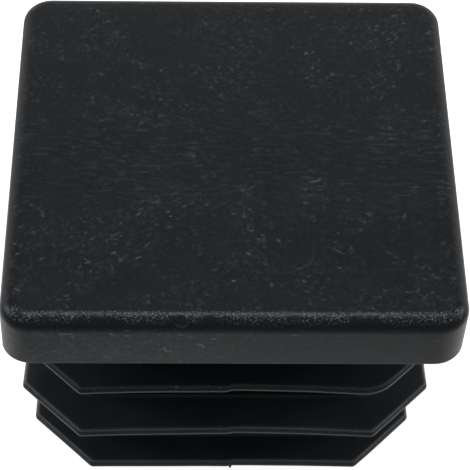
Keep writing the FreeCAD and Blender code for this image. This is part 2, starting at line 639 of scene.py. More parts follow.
    def outline(self, half: float, chamfer: float, tip: float, bow: float) -> Outline:
        """Plan outline of a fin.

        Args:
            half: Half its width across the points of the long sides.
            chamfer: How much of each corner is cut away, along the side.
            tip: Round where a long side meets a cut side.
            bow: How far the long sides bow inwards.

        Returns:
            Points anticlockwise from the left end of the front side.
        """
        inner = half - tip
        reach = inner - (chamfer - CORNER_SHARE * tip)
        full_reach = self.sizes.fin_width / 2 - self.tip - (self.sizes.fin_chamfer - CORNER_SHARE * self.tip)
        side: Outline = []
        for column in self.columns(full_reach):
            x = column / full_reach * reach
            slope = -2 * bow * x / reach**2
            length = math.hypot(slope, 1.0)
            y = -inner + bow * (1 - (x / reach) ** 2)
            side.append((x + slope / length * tip, y - tip / length))
        lean = math.atan2(2 * bow / reach, 1.0)
        for step in range(1, self.tip_steps + 1):
            turn = -lean + (math.pi / 4 + lean) * step / self.tip_steps
            side.append((reach + tip * math.sin(turn), -inner - tip * math.cos(turn)))
        start, end = side[-1], (inner + tip / math.sqrt(2), -reach - tip / math.sqrt(2))
        for step in range(1, 4):
            along = step / 4
            side.append(tuple(a + (b - a) * along for a, b in zip(start, end)))
        side.append(end)
        for step in range(1, self.tip_steps):
            turn = math.pi / 4 + (math.pi / 4 + lean) * step / self.tip_steps
            side.append((inner + tip * math.sin(turn), -reach - tip * math.cos(turn)))
        points: Outline = []
        for _ in range(4):
            points += side
            side = [(-y, x) for x, y in side]
        return points

    def stem_crossing(self, root: Outline, rim: Outline, half: float) -> list[float]:
        """Finds where each line from root to rim leaves the stem.

        Args:
            root: Outline inside the stem's wall.
            rim: Outline at the rim.
            half: Half the stem's width.

        Returns:
            For each point of the outlines, the share of the way from root to rim.
        """
        corner = self.sizes.stem_corner
        shares = []
        for (x0, y0), (x1, y1) in zip(root, rim):
            low, high = 0.0, 1.0
            for _ in range(self.search_steps):
                middle = (low + high) / 2
                x, y = abs(x0 + (x1 - x0) * middle), abs(y0 + (y1 - y0) * middle)
                past = math.hypot(max(x - half + corner, 0.0), max(y - half + corner, 0.0))
                inside = past < corner
                low, high = (middle, high) if inside else (low, middle)
            shares.append(low)
        return shares

    def one_fin(self) -> bpy.types.Mesh:
        """Skins one fin with its top face at z = 0, and notes on its points how the rules may move them."""
        size = self.sizes
        half, chamfer = size.fin_width / 2, size.fin_chamfer
        middle_depth = size.fin_depth + size.fin_pitch + size.rim
        stem = size.stem_half(middle_depth)
        root_chamfer = CORNER_SHARE * (size.stem_corner - self.bury + self.tip)

        def edge(inset: float, narrower: float = 0.0, tip: float = self.tip, bow: float = self.bow) -> Outline:
            """Outline at the rim, pulled in by inset."""
            return self.outline(half - inset - narrower, chamfer - CORNER_SHARE * inset, tip, bow)

        section = self.rim_section()
        root = self.outline(stem - self.bury, root_chamfer, self.tip, self.bow)
        faces = {}
        for sign, (inset, above, _) in ((1, section[0]), (-1, section[-1])):
            inner = edge(inset)
            spans = [math.dist(a, b) for a, b in zip(root, inner)]
            faces[sign] = (inset, above - size.rim, inner, self.stem_crossing(root, inner, stem), spans)

        rings: list[Ring] = []
        shares: list[list[float]] = []
        insets: list[float] = []
        # each ring's wear and painted highlight
        wear: list[float] = []

        def note(ring: Ring, along: list[float], inset: float, wear_and_highlight: float = 0.0) -> None:
            """Adds a ring, with how far out from the stem its points are, its inset, and its wear and painted
            highlight.
            """
            for rows, value in zip((rings, shares, insets, wear), (ring, along, inset, wear_and_highlight)):
                rows.append(value)

        def web(out: float, part: float, sign: int) -> None:
            """Adds a ring of the top face (sign 1) or underside (-1), this far and then this part out."""
            ring, along = [], []
            inset, level, inner, leave, spans = faces[sign]
            change = self.rise if sign > 0 else -self.drop
            for (x0, y0), (x1, y1), start, span in zip(root, inner, leave, spans):
                first = start + out / span
                at = first + (1 - first) * part
                ring.append((x0 + (x1 - x0) * at, y0 + (y1 - y0) * at, level + change * (1 - at)))
                along.append(max(0.0, (at - start) / (1 - start)))
            note(ring, along, inset)

        def lift(height: float) -> None:
            """Raises or lowers the last ring, for the fillet."""
            rings[-1] = [(x, y, z + height) for x, y, z in rings[-1]]

        def hidden(z: float) -> None:
            """Adds a ring inside the stem's wall."""
            note(Lofting.level(root, z), [0.0] * len(root), section[0][0])

        hidden(faces[1][1] + self.rise + self.fillet)
        for out, up in Lofting.quarter(self.fillet, self.fillet_steps):
            web(out, 0.0, 1)
            lift(up)
        for part in self.web_parts:
            web(self.fillet, part, 1)
        first_rim = len(rings)
        for inset, above, wear_and_highlight in section:
            note(Lofting.level(edge(inset), above - size.rim), [1.0] * len(root), inset, wear_and_highlight)
        for part in reversed(self.web_parts):
            web(self.fillet, part, -1)
        for out, down in reversed(Lofting.quarter(self.fillet, self.fillet_steps)):
            web(out, 0.0, -1)
            lift(-down)
        hidden(-size.rim - self.drop - self.fillet)

        mesh = Lofting.mesh("cap_fin", rings, joined=True)
        root_in = self.outline(stem - self.bury - MM, root_chamfer, self.tip, self.bow)
        rim_share, low_edge, rim_wear_and_highlight, rim_skin, narrow, sink, soft, straight = [], [], [], [], [], [], [], []
        for number, (ring, along, inset, wear_and_highlight) in enumerate(zip(rings, shares, insets, wear)):
            plain, thin, round_off = edge(inset), edge(inset, narrower=MM), edge(inset, tip=self.soft_tip)
            unbowed = edge(inset, bow=0.0)
            rim_wear_and_highlight += [wear_and_highlight] * len(ring)
            rim_skin += [1.0 if first_rim < number < first_rim + len(section) else 0.0] * len(ring)
            for k, (x, y, z) in enumerate(ring):
                at = along[k]
                rim_share.append(at)
                low_edge.append(at if z < self.lip / 2 - size.rim else 0.0)
                narrow.append([(b - a) / MM * at for a, b in zip(plain[k], thin[k])] + [0.0])
                sink.append([(b - a) / MM * (1 - at) for a, b in zip(root[k], root_in[k])] + [0.0])
                front_right = 1.0 if x > 0 > y else 0.0
                soft.append([(b - a) * at * front_right for a, b in zip(plain[k], round_off[k])] + [0.0])
                straight.append([(b - a) * at for a, b in zip(plain[k], unbowed[k])] + [0.0])
        numbers = {"rim_share": rim_share, "low_edge": low_edge, WEAR_AND_HIGHLIGHT: rim_wear_and_highlight, RIM: rim_skin}
        for name, values in numbers.items():
            mesh.attributes.new(name, "FLOAT", "POINT").data.foreach_set("value", values)
        for name, vectors in (("narrow", narrow), ("sink", sink), ("soft", soft), ("straight", straight)):
            flat = [number for vector in vectors for number in vector]
            mesh.attributes.new(name, "FLOAT_VECTOR", "POINT").data.foreach_set("vector", flat)
        return mesh

    def rules(self) -> dict[str, float]:
        """The numbers that the node tree works with, by the names of its inputs."""
        size = self.sizes
        return {
            "First Depth": size.fin_depth, "Pitch": size.fin_pitch, "Last Ease": size.last_fin_ease,
            "Draft": size.draft, "Straighter": self.straighter, "Parting": self.parting,
            "Parting Drift": self.parting_drift, "Parting Step": self.parting_step,
            "Parting Ease": self.parting_ease, "Parting Reach": self.parting_reach, "Flash": self.flash,
            "Waver": self.waver, "Middle Drop": self.middle_drop, "Right Ease": self.right_ease,
        }

    def tree(self) -> bpy.types.GeometryNodeTree:
        """Builds the node tree that repeats one fin and gives the stack its small faults."""
        group = bpy.data.node_groups.new("fin_stack", "GeometryNodeTree")
        face = group.interface
        face.new_socket(name="Geometry", in_out="OUTPUT", socket_type="NodeSocketGeometry")
        face.new_socket(name="Fin", in_out="INPUT", socket_type="NodeSocketGeometry")
        face.new_socket(name="Count", in_out="INPUT", socket_type="NodeSocketInt")
        for name in self.rules():
            face.new_socket(name=name, in_out="INPUT", socket_type="NodeSocketFloat")
        face.new_socket(name="Finish", in_out="INPUT", socket_type="NodeSocketMaterial")
        t = Tree(group)
        given = t.read("NodeGroupInput")

        def noted(name: str, kind: str = "FLOAT") -> Signal:
            """Reads what one_fin, or the line of points, noted on the points."""
            node = t.wired("GeometryNodeInputNamedAttribute", {"Name": name}, data_type=kind)
            return Signal(t, node.outputs["Attribute"])

        line = t.wired("GeometryNodeMeshLine", {
            "Count": given["Count"],
            "Start Location": t.join(0.0, 0.0, given["First Depth"] * -1.0),
            "Offset": t.join(0.0, 0.0, given["Pitch"] * -1.0),
        }, mode="OFFSET")
        number = t.wired("GeometryNodeStoreNamedAttribute", {
            "Geometry": line.outputs["Mesh"], "Name": "fin", "Value": t.read("GeometryNodeInputIndex")["Index"],
        }, data_type="FLOAT", domain="POINT")
        repeat = t.wired("GeometryNodeInstanceOnPoints", {
            "Points": number.outputs["Geometry"], "Instance": given["Fin"],
        })
        real = t.wired("GeometryNodeRealizeInstances", {"Geometry": repeat.outputs["Instances"]})

        place = t.read("GeometryNodeInputPosition")["Position"]
        x, y, _ = t.split(place)
        fin, at_rim = noted("fin"), noted("rim_share")
        last = t.math("COMPARE", fin, given["Count"] - 1.0, 0.1)
        first = t.math("COMPARE", fin, 0.0, 0.1)
        ease = t.scaled(noted("narrow", "FLOAT_VECTOR"), given["Last Ease"] * last)
        below = (fin - 1.0) * given["Pitch"]
        follow = t.scaled(noted("sink", "FLOAT_VECTOR"), given["Draft"] * below)
        soft = t.scaled(noted("soft", "FLOAT_VECTOR"), first)
        unbow = t.scaled(noted("straight", "FLOAT_VECTOR"), given["Straighter"] * last)

        crossing = given["Parting"] + given["Parting Drift"] * fin
        from_line = x - crossing
        side = t.ramp(from_line, self.parting_blend, -self.parting_blend) - 0.5
        near = t.ramp(abs(from_line), given["Parting Reach"], 0.0)
        long_side = t.ramp(abs(y), *self.long_sides)
        later = given["Parting Ease"] * (1.0 - first)
        apart = given["Parting Step"] * (1.0 - later)
        step = side * near * apart * at_rim * long_side
        offset_y = step * t.math("SIGN", y)

        burr = t.ramp(abs(from_line - self.flash_aside), *self.flash_width)
        front = t.math("LESS_THAN", y, -self.long_sides[0])
        burr = burr * front * (noted("low_edge") * last) * given["Flash"]
        roll = t.noise(place, self.waver_scale, 1.0) - 0.5
        roll = roll * at_rim * (given["Waver"] * 4.0)
        between = 1.0 - (first + last)
        lower = burr + given["Middle Drop"] * between
        begins, most, stops = self.right_end_y
        end = t.ramp(x, *self.right_end_x) * (t.ramp(y, begins, most) * t.ramp(y, stops, most))
        inwards = end * at_rim * (given["Right Ease"] * -1.0)
        faults = t.join(inwards, offset_y - burr, roll - lower)

        total = t.vector("ADD", t.vector("ADD", ease, follow), t.vector("ADD", soft, faults))
        total = t.vector("ADD", total, unbow)
        move = t.wired("GeometryNodeSetPosition", {"Geometry": real.outputs["Geometry"], "Offset": total})
        paint = t.wired("GeometryNodeSetMaterial", {
            "Geometry": move.outputs["Geometry"], "Material": given["Finish"],
        })
        t.wired("NodeGroupOutput", {"Geometry": paint.outputs["Geometry"]})
        return group

    def build(self, finish: bpy.types.Material) -> bpy.types.Object:
        """Runs the node tree on one fin and keeps the result as a plain mesh.

        Args:
            finish: The fins' material.

        Returns:
            The stack of fins.
        """
        size = self.sizes
        made = piece("cap_fins", self.one_fin())
        modifier = made.modifiers.new("fin_stack", "NODES")
        modifier.node_group = self.tree()
        values = self.rules() | {"Count": size.fin_count, "Finish": finish}
        for socket in modifier.node_group.interface.items_tree:
            if socket.in_out == "INPUT" and socket.name in values:
                modifier[socket.identifier] = values[socket.name]
        shown = made.evaluated_get(bpy.context.evaluated_depsgraph_get())
        mesh = bpy.data.meshes.new_from_object(shown)
        size.lean(mesh)
        made.modifiers.clear()
        made.data = mesh
        for name in ("rim_share", "low_edge", "narrow", "sink", "soft", "straight", "fin"):
            mesh.attributes.remove(mesh.attributes[name])
        return made


class Effects:
    """Shader node groups that the finishes share. Each is built once, and puts out only values that vary."""

    def __init__(self) -> None:
        """Starts with no group built."""
        self.built: dict[str, bpy.types.ShaderNodeTree] = {}

    def start(self, name: str, numbers: dict[str, float], result: str) -> tuple[Tree, dict]:
        """Begins a group that reads a place and some numbers.

        Args:
            name: The group's name.
            numbers: Its named inputs and their usual values.
            result: The name of its one output.

        Returns:
            The group's tree, and its input sockets by name.
        """
        group = bpy.data.node_groups.new(name, "ShaderNodeTree")
        group.interface.new_socket(name="Place", in_out="INPUT", socket_type="NodeSocketVector")
        for label, value in numbers.items():
            kind = "NodeSocketVector" if isinstance(value, tuple) else "NodeSocketFloat"
            group.interface.new_socket(name=label, in_out="INPUT", socket_type=kind).default_value = value
        group.interface.new_socket(name=result, in_out="OUTPUT", socket_type="NodeSocketFloat")
        self.built[name] = group
        tree = Tree(group)
        return tree, tree.read("NodeGroupInput")

    def finish(self, tree: Tree, value: Signal) -> None:
        """Puts the value out of the group."""
        tree.feed(tree.add("NodeGroupOutput").inputs[0], value)

    def use(self, tree: Tree, name: str, place: Value, **numbers: Value) -> Signal:
        """Places a group in a material.

        Args:
            tree: The material's tree.
            name: The group's name, which is also the name of the method that builds it.
            place: Object coordinates.
            numbers: Values for the group's inputs, their names in lower case.

        Returns:
            The group's output.
        """
        if name not in self.built:
            getattr(self, name)()
        inputs = {"Place": place} | {label.capitalize(): value for label, value in numbers.items()}
        return Signal(tree, tree.wired("ShaderNodeGroup", inputs, node_tree=self.built[name]).outputs[0])

    def grain(self) -> None:
        """Height of the fine grain that the mould leaves."""
        t, given = self.start("grain", {"Cell": 0.14 * MM}, "Height")
        scale = 1.0 / given["Cell"]
        pits = t.noise(given["Place"], scale, 3.0, 0.6)
        distance, _ = t.cells(given["Place"], scale * 0.8)
        self.finish(t, pits * 0.7 + distance * 0.3)

    def along_flow(self, t: Tree, given: dict, mark: Callable[[Value], Value]) -> Value:
        """Lays one pattern at six angles, and shows each where the plastic flowed that way over the face.

        Args:
            t: The group's tree.
            given: The group's inputs.
            mark: Makes the pattern from a place whose x runs along the flow and whose y runs across it.

        Returns:
            The pattern's mask.
        """
        x, y, _ = t.split(given["Place"])
        far = abs(x)
        side = x / (far + 3 * MM)
        rise = (y + 1.4 * MM) * side
        way = t.vector("NORMALIZE", t.join(far * 1.2 + 3 * MM, rise, 0.0))
        total: Value = 0.0
        for step in range(6):
            turn = math.pi * step / 6
            ahead, aside = (math.cos(turn), math.sin(turn), 0.0), (-math.sin(turn), math.cos(turn), 0.0)
            along = t.vector("DOT_PRODUCT", given["Place"], ahead) / given["Length"]
            across = t.vector("DOT_PRODUCT", given["Place"], aside) / given["Width"]
            alike = abs(t.vector("DOT_PRODUCT", way, ahead))
            weight = t.ramp(alike, math.cos(math.radians(25)), math.cos(math.radians(6)))
            spot = t.join(along, across, given["Shift"] + 5.0 * step)
            total = total + mark(spot) * weight
        return total

    def flow(self) -> None:
        """Mask of soft short streaks that lie as the plastic flowed."""
        numbers = {"Width": 0.3 * MM, "Length": 1.4 * MM, "Low": 0.5, "High": 0.66, "Shift": 0.0}
        t, given = self.start("flow", numbers, "Mask")

        def streaks(spot: Value) -> Value:
            """Soft streaks in stretched noise."""
            return t.ramp(t.noise(spot, 1.0, 1.5, 0.5), given["Low"], given["High"])

        self.finish(t, self.along_flow(t, given, streaks))

    def dash(self) -> None:
        """Mask of few bright dashes that lie as the plastic flowed."""
        numbers = {"Width": 0.3 * MM, "Length": 0.9 * MM, "Share": 0.2, "Shift": 0.0}
        t, given = self.start("dash", numbers, "Mask")

        def dashes(spot: Value) -> Value:
            """Stretched dots of all sizes."""
            distance, random = t.cells(spot, 1.0)
            size = t.dots(random, given["Share"], 0.5)
            return t.ramp(distance, size, size * 0.2)

        self.finish(t, self.along_flow(t, given, dashes))

    def streak(self) -> None:
        """Mask of short level streaks on upright walls."""
        numbers = {"Width": 0.14 * MM, "Length": 0.8 * MM, "Share": 0.2}
        t, given = self.start("streak", numbers, "Mask")
        x, y, z = t.split(given["Place"])
        along = [value / given["Length"] for value in (x, y)]
        distance, random = t.cells(t.join(*along, z / given["Width"]), 1.0)
        size = t.dots(random, given["Share"], 0.5)
        self.finish(t, t.ramp(distance, size, size * 0.3))

    def speck(self) -> None:
        """Mask of scattered small specks."""
        t, given = self.start("speck", {"Spacing": 0.8 * MM, "Size": 0.08 * MM, "Share": 0.3}, "Mask")
        distance, random = t.cells(given["Place"], 1.0 / given["Spacing"])
        largest = given["Size"] / given["Spacing"]
        size = t.dots(random, given["Share"], largest)
        self.finish(t, t.ramp(distance, size, size * 0.4))

    def patch(self) -> None:
        """Soft patches, for whatever comes in loose clusters."""
        t, given = self.start("patch", {"Spacing": 6 * MM, "Low": 0.45, "High": 0.65}, "Mask")
        cloud = t.noise(given["Place"], 1.0 / given["Spacing"], 3.0, 0.55)
        self.finish(t, t.ramp(cloud, given["Low"], given["High"]))

    def scratch(self) -> None:
        """Mask of one straight scratch that fades at its ends."""
        zero = (0.0, 0.0, 0.0)
        t, given = self.start("scratch", {"Start": zero, "End": zero, "Width": 0.07 * MM}, "Mask")
        way = t.vector("SUBTRACT", given["End"], given["Start"])
        gone = t.vector("SUBTRACT", given["Place"], given["Start"])
        reached, whole = t.vector("DOT_PRODUCT", gone, way), t.vector("DOT_PRODUCT", way, way)
        share = t.math("DIVIDE", reached, whole, clamp=True)
        off = t.vector("LENGTH", t.vector("SUBTRACT", gone, t.scaled(way, share)))
        taper = t.math("POWER", share * (1.0 - share) * 4.0, 0.4)
        self.finish(t, t.ramp(off, given["Width"], 0.0) * taper)

    def swirl(self) -> None:
        """Mask of one curved scuff, a part of a circle."""
        zero = (0.0, 0.0, 0.0)
        numbers = {"Middle": zero, "Facing": (0.0, -1.0, 0.0), "Radius": MM, "Width": 0.08 * MM}
        t, given = self.start("swirl", numbers, "Mask")
        gone = t.vector("SUBTRACT", given["Place"], given["Middle"])
        off = abs(t.vector("LENGTH", gone) - given["Radius"])
        ahead = t.vector("DOT_PRODUCT", t.vector("NORMALIZE", gone), given["Facing"])
        self.finish(t, t.ramp(off, given["Width"], 0.0) * t.ramp(ahead, 0.3, 0.9))


@dataclass(frozen=True)
class Scratch:
    """One scratch on the head, from a place to a place, with its width and how pale it is."""

    start: Point
    end: Point
    width: float
    strength: float

    @classmethod
    def on_face(cls, start: tuple[float, float], end: tuple[float, float], strength: float,
                width: float = 0.15) -> "Scratch":
        """A scratch on the outer face, its x and y and its width given in millimetres."""
        top = CapSizes().head_thickness
        (x0, y0), (x1, y1) = start, end
        return cls((x0 * MM, y0 * MM, top), (x1 * MM, y1 * MM, top), width * MM, strength)

    @classmethod
    def on_front(cls, start: tuple[float, float], end: tuple[float, float], strength: float,
                 width: float = 0.15) -> "Scratch":
        """A scratch on the front wall, its x and z and its width given in millimetres."""
        front = -CapSizes().tube_width / 2
        (x0, z0), (x1, z1) = start, end
        return cls((x0 * MM, front, z0 * MM), (x1 * MM, front, z1 * MM), width * MM, strength)


@dataclass(frozen=True)
class Swirl:
    """One curved scuff on the head: its circle, the way it faces, its width and how pale it is."""

    middle: Point
    facing: Point
    radius: float
    width: float = 0.07 * MM
    strength: float = 0.35


@dataclass(frozen=True)
class MouldedPlastic:
    """Black moulded plastic with its grain, flow streaks, specks and scuffs.

    Attributes:
        name: The material's name.
        base: Its own colour.
        other: Its second tone, in soft patches or recesses; between the fins it is painted light that lifts the
            shade.
        scuff: The paler colour of what is scuffed, which the painted highlights and lifts share.
        roughness: How matt the clean skin is.
        gloss: The shader's specular level.
        grain_cell: Size of the grain.
        grain_depth: Height of the grain.
        wave_depth: Height of the slow unevenness.
        wear: How strongly streaks and specks show, from 0 to 1.
    """

    name: str
    base: Colour
    other: Colour
    scuff: Colour
    roughness: float
    gloss: float
    grain_cell: float
    grain_depth: float
    wave_depth: float
    wear: float

    def marks(self, t: Tree, effects: Effects, place: Value) -> Signal:
        """Joins all pale marks, with the painted light on the rims, into one mask.

        Args:
            t: The material's tree.
            effects: The shared groups.
            place: Object coordinates.

        Returns:
            The mask, from 0 to 1.
        """
        loose = effects.use(t, "patch", place, spacing=5 * MM, low=0.42, high=0.62)
        level = effects.use(t, "streak", place, width=0.13 * MM, length=0.7 * MM, share=0.22)
        dots = effects.use(t, "speck", place, spacing=0.55 * MM, size=0.10 * MM, share=0.3)
        both = level * 0.4 + dots * 0.6
        faint = both * (loose * self.wear)
        # the rims' wear, which also paints their light lines
        wear_and_highlight = t.read("ShaderNodeAttribute", attribute_name=WEAR_AND_HIGHLIGHT)["Fac"]
        _, _, z = t.split(place)
        # painted light: the rims pale the lower they lie, where the head shades them less
        painted_lower_rim_light = t.ramp(z, -5 * MM, -13 * MM)
        nicks = effects.use(t, "speck", place, spacing=0.36 * MM, size=0.15 * MM, share=0.7)
        chips = effects.use(t, "speck", place, spacing=1.2 * MM, size=0.3 * MM, share=0.5)
        # rim wear and painted highlight: nicks and chips are wear; the noise and the even share paint the rims'
        # light lines
        rim_rub_and_highlight = t.noise(place, 1 / (0.25 * MM), 2.0) * 0.3
        rim_rub_and_highlight = rim_rub_and_highlight + painted_lower_rim_light * 0.36
        rim_rub_and_highlight = rim_rub_and_highlight + nicks * 1.2
        rim_rub_and_highlight = rim_rub_and_highlight + chips * 1.8
        rim_rub_and_highlight = rim_rub_and_highlight + 0.24
        return t.math("ADD", faint, wear_and_highlight * rim_rub_and_highlight, clamp=True)

    def tone(self, t: Tree, cloud: Value) -> Value:
        """Where the plastic has its second, paler tone: painted light that lifts the shade between the fins,
        kept off the rims.
        """
        rim = t.read("ShaderNodeAttribute", attribute_name=RIM)["Fac"]
        return (1.0 - rim) * (cloud * 0.2 + 0.8)

    def extra_height(self, t: Tree, effects: Effects, place: Value) -> Value:
        """Height, in metres, that a kind of this plastic adds to the grain."""
        return 0.0

    def material(self, effects: Effects) -> bpy.types.Material:
        """Builds the material.

        Args:
            effects: The shared groups.

        Returns:
            The material.
        """
        made = bpy.data.materials.new(self.name)
        made.diffuse_color = self.base
        t = Tree.of(made)
        place = t.read("ShaderNodeTexCoord")["Object"]
        marks = self.marks(t, effects, place)
        cloud = effects.use(t, "patch", place, spacing=3.5 * MM, low=0.35, high=0.7)

        colour: Value = self.base
        # on the fins the second tone, and in both finishes some pale marks, are painted light as well as real
        # marks
        for share, over in ((self.tone(t, cloud), self.other), (marks, self.scuff)):
            mixed = t.wired("ShaderNodeMix", {"Factor": share, "A": colour, "B": over}, data_type="RGBA")
            colour = mixed.outputs["Result"]

        rough = cloud * 0.02 + self.roughness
        rough = rough + marks * 0.12
        grain = effects.use(t, "grain", place, cell=self.grain_cell) * self.grain_depth
        wave = t.noise(place, 1 / (4 * MM), 2.0) * self.wave_depth
        height = grain + wave + self.extra_height(t, effects, place)
        bump = t.wired("ShaderNodeBump", {"Distance": 1.0, "Strength": 1.0, "Height": height})
        shader = t.wired("ShaderNodeBsdfPrincipled", {
            "Base Color": colour, "Roughness": rough, "Specular IOR Level": self.gloss,
            "Specular Tint": COOL_SHEEN, "IOR": PLASTIC_IOR, "Normal": bump.outputs["Normal"],
        })
        t.wired("ShaderNodeOutputMaterial", {"Surface": shader.outputs["BSDF"]})
        return made


@dataclass(frozen=True)
class HeadPlastic(MouldedPlastic):
    """The same plastic on the head, with wear and a painted highlight along its outer edge, and the marks of
    handling.

    Attributes:
        sizes: The cap's shared sizes.
        edge_wear_and_highlight: How strongly the outer edge's wear and painted highlight show, where 1 is as
            its mask gives it.
        scratches: Scratches that stand out.
        swirls: Curved scuffs that stand out.
    """

    sizes: CapSizes = CapSizes()
    edge_wear_and_highlight: float = 1.2
    scratches: tuple[Scratch, ...] = ()
    swirls: tuple[Swirl, ...] = ()

    def past_face(self, t: Tree, place: Value) -> Signal:
        """How far a place lies beyond the line where the outer face turns down, in metres."""
        x, y, _ = t.split(place)
        size = self.sizes
        flat = size.tube_width / 2 - size.head_corner
        past_x = abs(x) - flat
        past_y = abs(y) - flat
        past = t.join(t.math("MAXIMUM", past_x, 0.0), t.math("MAXIMUM", past_y, 0.0), 0.0)
        inner = t.math("MINIMUM", t.math("MAXIMUM", past_x, past_y), 0.0)
        out = t.vector("LENGTH", past) + inner
        return out - (size.head_corner - size.head_round)

    def frost_and_highlight(self, t: Tree, effects: Effects, place: Value) -> Signal:
        """Mask of the frosted wear and painted highlight where the outer face turns down, along the front and
        its corners.
        """
        x, y, _ = t.split(place)
        out = self.past_face(t, place)
        clumps = effects.use(t, "patch", place, spacing=1.6 * MM, low=0.34, high=0.60)
        corner = t.ramp(abs(x), 15.5 * MM, 17.5 * MM)
        clumps = t.math("MAXIMUM", clumps, corner * 0.9)
        # painted highlight: a pale line where the outer face turns down, as the lamp's highlight lies there
        line = t.ramp(out, -0.06 * MM, 0.08 * MM) * t.ramp(out, 0.5 * MM, 0.22 * MM)
        tail = t.ramp(out, 0.0, 0.2 * MM) * t.ramp(out, 1.28 * MM, 0.6 * MM)
        band = line * (clumps * 0.35 + 0.35)
        band = t.math("MAXIMUM", band, tail * clumps)
        return band * t.ramp(y, -17.7 * MM, -18.7 * MM)

    def face_marks(self, t: Tree, effects: Effects, place: Value, patches: Value) -> Signal:
        """Mask of the flow streaks, dashes and soft blots on the outer face."""
        _, y, _ = t.split(place)
        fine = effects.use(t, "flow", place, width=0.34 * MM, length=1.5 * MM, low=0.50, high=0.68, shift=0.0)
        dash = effects.use(t, "dash", place, width=0.42 * MM, length=0.8 * MM, share=0.3, shift=3.1)
        moved = t.vector("ADD", place, (5 * MM, 2 * MM, 0.0))
        uneven = t.join(t.noise(place, 1 / (0.35 * MM), 2.0), t.noise(moved, 1 / (0.35 * MM), 2.0), 0.0)
        bent = t.vector("ADD", place, t.scaled(uneven, 0.9 * MM))
        blots = effects.use(t, "speck", bent, spacing=0.62 * MM, size=0.28 * MM, share=0.45)
        mottle = t.ramp(t.noise(place, 1 / (0.45 * MM), 3.0, 0.65), 0.5, 0.64)
        spots: Value = 0.0
        for mask, strength in ((dash, 0.42), (blots, 0.34), (mottle, 0.12)):
            spots = spots + mask * strength
        ends = t.ramp(abs(y + 1.4 * MM), 3 * MM, 8 * MM)
        spots = spots * (ends * 0.5 + 0.6)
        streaks = fine * (0.14 - ends * 0.12)
        spots = spots * (patches * 0.75 + 0.2)
        streaks = streaks * (patches * 0.5 + 0.4)
        total = spots + streaks
        # a fine paler mottle, none along the front edge, growing to the middle and full over the back half
        paler_back_mottle = t.ramp(t.noise(place, 1 / (0.2 * MM), 3.0, 0.7), 0.45, 0.65)
        paler_back_mottle = paler_back_mottle * (t.ramp(y, -17 * MM, 0.0) * 0.05)
        edge = t.ramp(y, 17.5 * MM, 18.6 * MM) * 0.04
        return total + paler_back_mottle + edge

    def wall_marks(self, t: Tree, effects: Effects, place: Value, patches: Value) -> Signal:
        """Mask of the walls' level scuffs, plainest on the front. All walls also pale a little towards the
        foot, a painted reflection of the table close by.
        """
        x, y, z = t.split(place)
        level = effects.use(t, "streak", place, width=0.26 * MM, length=0.9 * MM, share=0.5)
        fine = t.ramp(t.noise(place, 1 / (0.22 * MM), 3.0, 0.7), 0.50, 0.64)
        blotch = t.ramp(t.noise(place, 1 / (0.6 * MM), 2.0, 0.6), 0.52, 0.66)
        lefter = t.ramp(x, 6 * MM, -8 * MM) * 0.7 + 0.3
        front = t.ramp(y, -18.0 * MM, -19.5 * MM)
        lefter = lefter * (front * 0.75 + 0.25)
        total = level * 1.4 * (patches * lefter)
        grainy = fine * 0.25 + blotch * 0.2
        total = total + grainy * lefter
        total = total * (t.ramp(z, 5.0 * MM, 4.3 * MM) * t.ramp(z, -0.5 * MM, 0.0))
        # painted reflection: the walls grow paler towards the foot
        return total + t.ramp(z, 4.4 * MM, 0.2 * MM, False) * 0.05

    def marks(self, t: Tree, effects: Effects, place: Value) -> Signal:
        """Joins flow streaks, specks, edge wear with its painted highlight, the round's painted lift, scratches
        and swirls into one mask.
        """
        _, _, z = t.split(place)
        on_top = t.ramp(z, self.sizes.head_thickness - 0.5 * MM, self.sizes.head_thickness - 0.1 * MM)
        patches = effects.use(t, "patch", place, spacing=4 * MM, low=0.38, high=0.62)
        face = self.face_marks(t, effects, place, patches) * on_top
        wall = self.wall_marks(t, effects, place, patches)
        wall = wall * (1.0 - on_top)
        total = (face + wall) * self.wear
        grains = t.ramp(t.noise(place, 1 / (0.19 * MM), 2.0, 0.7), 0.53, 0.64)
        # wear and painted highlight along the front edge
        frost_and_highlight = grains * self.frost_and_highlight(t, effects, place) * self.edge_wear_and_highlight
        out = self.past_face(t, place)
        # painted light: a faint paler band over the outer round lifts its dark reflection
        painted_round_lift = t.ramp(out, 0.35 * MM, 0.75 * MM) * t.ramp(out, 1.36 * MM, 1.24 * MM)
        total = total + frost_and_highlight + painted_round_lift * 0.045
        broken = t.ramp(t.noise(place, 1 / (0.22 * MM), 2.0, 0.6), 0.36, 0.56)
        lines: Value = 0.0
        for scratch in self.scratches:
            mask = effects.use(t, "scratch", place, start=scratch.start, end=scratch.end, width=scratch.width)
            lines = lines + mask * scratch.strength
        for swirl in self.swirls:
            mask = effects.use(t, "swirl", place, middle=swirl.middle, facing=swirl.facing,
                               radius=swirl.radius, width=swirl.width)
            lines = lines + mask * swirl.strength
        lines = lines * (broken * 0.45 + 0.55)
        return t.math("MINIMUM", total + lines, 1.0)

    def tone(self, t: Tree, cloud: Value) -> Value:
        """Where the plastic has its second tone: in soft patches."""
        return cloud

    def extra_height(self, t: Tree, effects: Effects, place: Value) -> Signal:
        """Coarser grain along the outer edge, under the mask of its wear and painted highlight."""
        pits = effects.use(t, "grain", place, cell=0.2 * MM)
        return pits * self.frost_and_highlight(t, effects, place) * (0.05 * MM)


